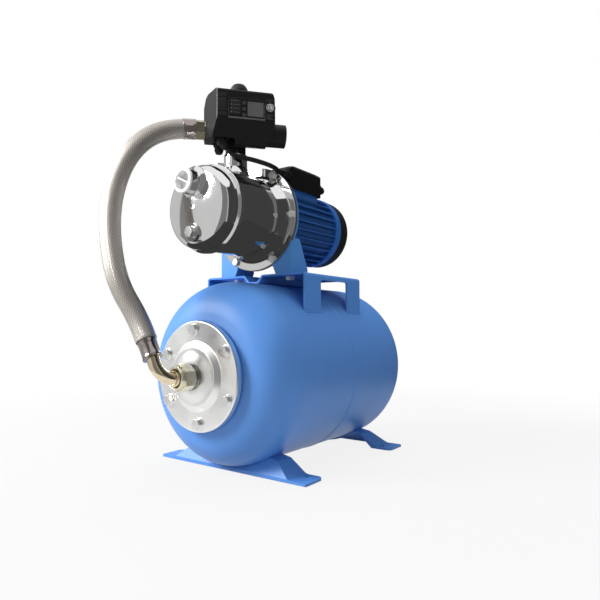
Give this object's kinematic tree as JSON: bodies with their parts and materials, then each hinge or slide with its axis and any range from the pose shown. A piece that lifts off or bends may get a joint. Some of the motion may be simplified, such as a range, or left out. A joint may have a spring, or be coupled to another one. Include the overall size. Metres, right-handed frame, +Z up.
{
  "type": "jet pump with pressure tank",
  "caption": "Self-priming jet pump on a horizontal membrane pressure tank, with an electronic pump controller and a braided hose to the tank's flange.",
  "frame": {"origin": "on the floor at the middle of the four foot holes", "axes": "+Z up, -Y towards the end with the counter flange and the suction port, +X to the right of someone who looks at that end from the front"},
  "size_m": [0.284, 0.5382, 0.5667],
  "materials": {
    "tank_blue": "satin",
    "motor_blue": "satin",
    "polished_steel": "polished",
    "zinc_steel": "satin",
    "yellow_zinc": "satin",
    "crimped_steel": "satin",
    "steel_braid": "woven",
    "brass": "polished",
    "black_plastic": "matte",
    "display_pane": "gloss",
    "key_plastic": "matte",
    "white_plastic": "matte",
    "pump_plastic": "matte",
    "board_green": "satin",
    "black_rubber": "matte",
    "lamination_steel": "bare",
    "winding_enamel": "gloss"
  },
  "bodies": {
    "pump_set": {"tank_front_shell": "tank_blue", "tank_rear_shell": "tank_blue", "front_foot": "tank_blue", "rear_foot": "tank_blue", "pump_bracket": "tank_blue", "motor_bracket": "motor_blue", "motor_housing": "motor_blue", "rear_shield": "motor_blue", "pump_casing": "polished_steel", "suction_stub": "polished_steel", "discharge_stub": "polished_steel", "discharge_nipple": "polished_steel", "counter_flange": "zinc_steel", "flange_bolts": "zinc_steel", "casing_bolts": "zinc_steel", "pump_foot_bolts": "zinc_steel", "lid_screws": "zinc_steel", "bearings": "zinc_steel", "seal_plate": "zinc_steel", "tank_connector": "yellow_zinc", "hose_elbow": "yellow_zinc", "lower_ferrule": "crimped_steel", "braided_hose": "steel_braid", "hose_upper_fitting": "brass", "air_valve": "brass", "fan_cover": "black_plastic", "terminal_box": "black_plastic", "terminal_box_lid": "black_plastic", "cable_glands": "black_plastic", "controller_body": "black_plastic", "controller_cover": "black_plastic", "controller_flow_body": "black_plastic", "motor_foot": "black_plastic", "display_window": "display_pane", "terminal_block": "white_plastic", "capacitor": "white_plastic", "ejector_nozzle": "pump_plastic", "diffuser_venturi": "pump_plastic", "seal_seat": "pump_plastic", "circuit_board": "board_green", "tank_membrane": "black_rubber", "casing_oring": "black_rubber", "membrane_cap": "black_rubber", "interconnect_cable": "black_rubber", "stator_core": "lamination_steel", "stator_windings": "winding_enamel"},
    "rotor": {"motor_shaft": "zinc_steel", "rotor_core": "lamination_steel", "impeller": "pump_plastic", "cooling_fan": "black_plastic", "mechanical_seal": "zinc_steel"},
    "up_key": {"key_up": "key_plastic"},
    "set_key": {"key_set": "key_plastic"},
    "down_key": {"key_down": "key_plastic"},
    "reset_push": {"reset_button": "key_plastic"},
    "port_cap": {"suction_cap": "white_plastic"},
    "drain_screw": {"drain_plug": "brass"},
    "priming_screw": {"priming_plug": "brass"},
    "valve_cap": {"air_valve_cap": "black_plastic"},
    "valve_poppet": {"check_valve": "pump_plastic"}
  },
  "joints": [
    {"name": "rotor_spin", "type": "hinge", "parent": "pump_set", "child": "rotor", "pos_m": [0, 0, 0.3776], "axis": [0, 1, 0], "continuous": true},
    {"name": "up_key_press", "type": "slide", "parent": "pump_set", "child": "up_key", "axis": [-0.766, 0.6428, 0], "range_m": [0, 0.0008], "stiffness_N_per_m": 600, "springref_m": -0.0004},
    {"name": "set_key_press", "type": "slide", "parent": "pump_set", "child": "set_key", "axis": [-0.766, 0.6428, 0], "range_m": [0, 0.0008], "stiffness_N_per_m": 600, "springref_m": -0.0004},
    {"name": "down_key_press", "type": "slide", "parent": "pump_set", "child": "down_key", "axis": [-0.766, 0.6428, 0], "range_m": [0, 0.0008], "stiffness_N_per_m": 600, "springref_m": -0.0004},
    {"name": "reset_press", "type": "slide", "parent": "pump_set", "child": "reset_push", "axis": [-0.766, 0.6428, 0], "range_m": [0, 0.0008], "stiffness_N_per_m": 600, "springref_m": -0.0004},
    {"name": "suction_cap_pull", "type": "slide", "parent": "pump_set", "child": "port_cap", "axis": [0, -1, 0], "range_m": [0, 0.03]},
    {"name": "drain_plug_out", "type": "slide", "parent": "pump_set", "child": "drain_screw", "axis": [0, -1, 0], "range_m": [0, 0.015]},
    {"name": "priming_plug_out", "type": "slide", "parent": "pump_set", "child": "priming_screw", "axis": [0, 0, 1], "range_m": [0, 0.016]},
    {"name": "valve_cap_pull", "type": "slide", "parent": "pump_set", "child": "valve_cap", "axis": [0, 1, 0], "range_m": [0, 0.018]},
    {"name": "check_valve_lift", "type": "slide", "parent": "pump_set", "child": "valve_poppet", "axis": [0, 0, 1], "range_m": [0, 0.006], "stiffness_N_per_m": 40, "springref_m": -0.002}
  ]
}
